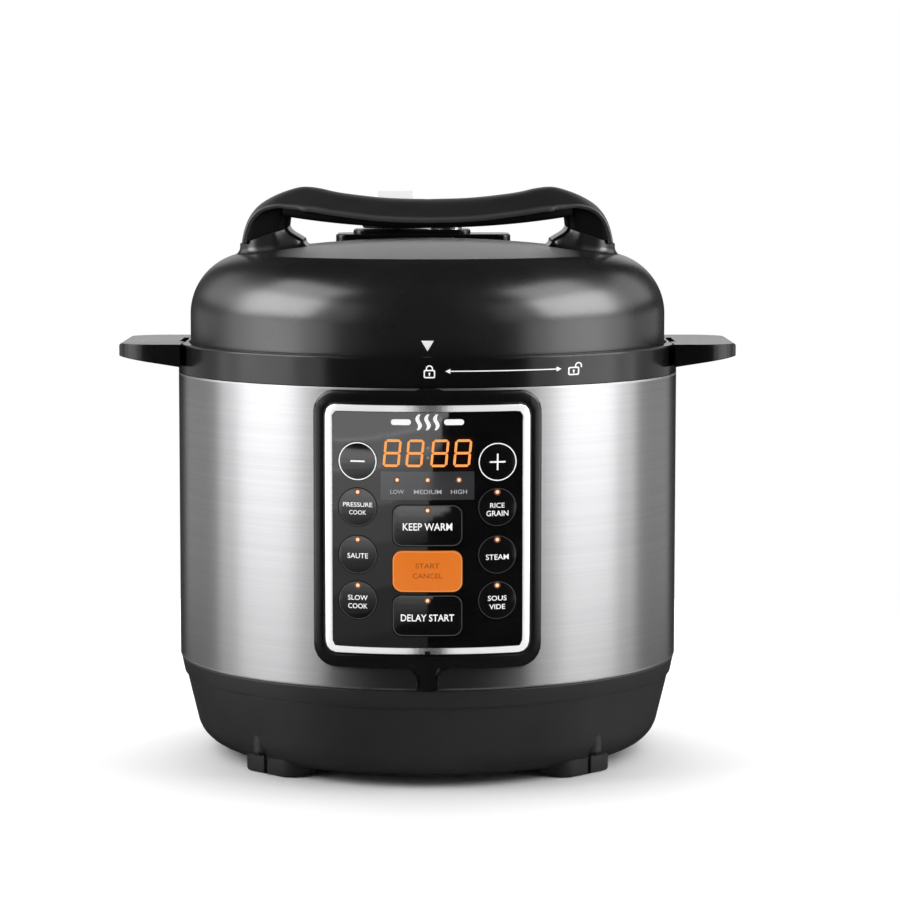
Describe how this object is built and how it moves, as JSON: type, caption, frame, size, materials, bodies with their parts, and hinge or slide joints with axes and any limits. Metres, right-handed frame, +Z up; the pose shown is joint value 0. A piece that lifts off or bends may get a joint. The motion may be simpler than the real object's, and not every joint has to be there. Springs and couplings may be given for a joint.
{
  "type": "electric pressure cooker",
  "caption": "Round electric pressure cooker with a brushed steel housing, bayonet lid with bridge handle, removable pot, curved key panel and side ears.",
  "frame": {"origin": "on the cooker's vertical axis, at the table under its feet", "axes": "+Z up, the key panel faces -Y, +X runs towards the right-hand ear as seen from the panel"},
  "size_m": [0.3426, 0.3016, 0.317],
  "materials": {
    "brushed_steel": "horizontal brushed",
    "black_moulding": "satin moulded",
    "base_moulding": "fine grained moulded",
    "rubber_pads": "matt",
    "bright_trim": "bright",
    "panel_gloss": "glossy",
    "key_black": "satin",
    "key_orange": "satin",
    "pot_steel": "satin",
    "pot_coating": "glossy outside, non-stick inside",
    "cast_plate": "cast and turned",
    "silicone": "translucent matt",
    "knob_gloss": "glossy",
    "bright_guard": "satin bright",
    "screws": "zinc plated",
    "boards": "lacquered",
    "modules": "moulded",
    "light_pipes": "clear",
    "inlet_black": "moulded",
    "inlet_brass": "plated",
    "cup_clear": "smoked"
  },
  "bodies": {
    "base": {"base_band": "base_moulding", "base_cover": "base_moulding", "base_screws": "screws", "control_board": "boards", "display_module": "modules", "feet": "base_moulding", "foot_pads": "rubber_pads", "heating_plate": "cast_plate", "inlet_pins": "inlet_brass", "key_lights": "light_pipes", "key_switches": "modules", "outer_pot": "pot_steel", "panel_bezel": "black_moulding", "panel_lens": "panel_gloss", "panel_trim": "bright_trim", "plate_brackets": "pot_steel", "power_board": "boards", "power_inlet": "inlet_black", "pressure_switch": "modules", "sensor_holder": "modules", "sensor_spring": "pot_steel", "steel_sleeve": "brushed_steel", "thermal_fuse": "modules", "upper_ring": "black_moulding"},
    "seal": {"sealing_ring": "silicone", "sealing_ring_rack": "pot_steel"},
    "lid": {"lid_cover": "black_moulding", "lid_handle": "black_moulding", "handle_screws": "screws", "inner_lid": "pot_steel", "lid_screws": "screws", "valve_deck": "black_moulding", "exhaust_pipe": "pot_steel", "exhaust_nut": "pot_steel", "anti_block_shield": "pot_steel", "float_valve_seal": "silicone", "float_guard": "bright_guard"},
    "steam_knob": {"steam_valve_knob": "knob_gloss"},
    "float_pin": {"float_valve": "pot_steel"},
    "pot": {"inner_pot": "pot_coating"},
    "sensor": {"temperature_sensor": "cast_plate"},
    "drip_cup": {"condensation_cup": "cup_clear"},
    "minus_key": {"minus_key": "key_black"},
    "plus_key": {"plus_key": "key_black"},
    "pressure_cook_key": {"pressure_cook_key": "key_black"},
    "saute_key": {"saute_key": "key_black"},
    "slow_cook_key": {"slow_cook_key": "key_black"},
    "rice_grain_key": {"rice_grain_key": "key_black"},
    "steam_key": {"steam_key": "key_black"},
    "sous_vide_key": {"sous_vide_key": "key_black"},
    "keep_warm_key": {"keep_warm_key": "key_black"},
    "start_cancel_key": {"start_cancel_key": "key_orange"},
    "delay_start_key": {"delay_start_key": "key_black"}
  },
  "joints": [
    {"name": "lid_lift", "type": "slide", "parent": "base", "child": "seal", "axis": [0, 0, 1], "range_m": [0, 0.4]},
    {"name": "lid_turn", "type": "hinge", "parent": "seal", "child": "lid", "pos_m": [0, 0, 0.24], "axis": [0, 0, 1], "range_deg": [0, 33]},
    {"name": "steam_knob_turn", "type": "hinge", "parent": "lid", "child": "steam_knob", "pos_m": [-0.0188, 0.066, 0.3], "axis": [0, 0, 1], "range_deg": [-45, 0]},
    {"name": "float_valve_rise", "type": "slide", "parent": "lid", "child": "float_pin", "axis": [0, 0, 1], "range_m": [0, 0.004]},
    {"name": "pot_lift", "type": "slide", "parent": "base", "child": "pot", "axis": [0, 0, 1], "range_m": [0, 0.18]},
    {"name": "sensor_press", "type": "slide", "parent": "base", "child": "sensor", "axis": [0, 0, -1], "range_m": [0, 0.003], "stiffness_N_per_m": 300, "springref_m": -0.002, "deforming": ["sensor_spring"]},
    {"name": "drip_cup_pull", "type": "slide", "parent": "base", "child": "drip_cup", "axis": [0, 1, 0], "range_m": [0, 0.045]},
    {"name": "minus_press", "type": "slide", "parent": "base", "child": "minus_key", "axis": [0.2552, 0.9669, 0], "range_m": [0, 0.0005], "stiffness_N_per_m": 800},
    {"name": "plus_press", "type": "slide", "parent": "base", "child": "plus_key", "axis": [-0.2559, 0.9667, 0], "range_m": [0, 0.0005], "stiffness_N_per_m": 800},
    {"name": "pressure_cook_press", "type": "slide", "parent": "base", "child": "pressure_cook_key", "axis": [0.2552, 0.9669, 0], "range_m": [0, 0.0005], "stiffness_N_per_m": 800},
    {"name": "saute_press", "type": "slide", "parent": "base", "child": "saute_key", "axis": [0.2552, 0.9669, 0], "range_m": [0, 0.0005], "stiffness_N_per_m": 800},
    {"name": "slow_cook_press", "type": "slide", "parent": "base", "child": "slow_cook_key", "axis": [0.2552, 0.9669, 0], "range_m": [0, 0.0005], "stiffness_N_per_m": 800},
    {"name": "rice_grain_press", "type": "slide", "parent": "base", "child": "rice_grain_key", "axis": [-0.2552, 0.9669, 0], "range_m": [0, 0.0005], "stiffness_N_per_m": 800},
    {"name": "steam_press", "type": "slide", "parent": "base", "child": "steam_key", "axis": [-0.2552, 0.9669, 0], "range_m": [0, 0.0005], "stiffness_N_per_m": 800},
    {"name": "sous_vide_press", "type": "slide", "parent": "base", "child": "sous_vide_key", "axis": [-0.2552, 0.9669, 0], "range_m": [0, 0.0005], "stiffness_N_per_m": 800},
    {"name": "keep_warm_press", "type": "slide", "parent": "base", "child": "keep_warm_key", "axis": [0, 1, 0], "range_m": [0, 0.0005], "stiffness_N_per_m": 800},
    {"name": "start_cancel_press", "type": "slide", "parent": "base", "child": "start_cancel_key", "axis": [0, 1, 0], "range_m": [0, 0.0005], "stiffness_N_per_m": 800},
    {"name": "delay_start_press", "type": "slide", "parent": "base", "child": "delay_start_key", "axis": [0, 1, 0], "range_m": [0, 0.0005], "stiffness_N_per_m": 800}
  ],
  "couplings": [
    {"joint": "pot_lift", "follows": "lid_lift", "ratio": 0.45}
  ]
}
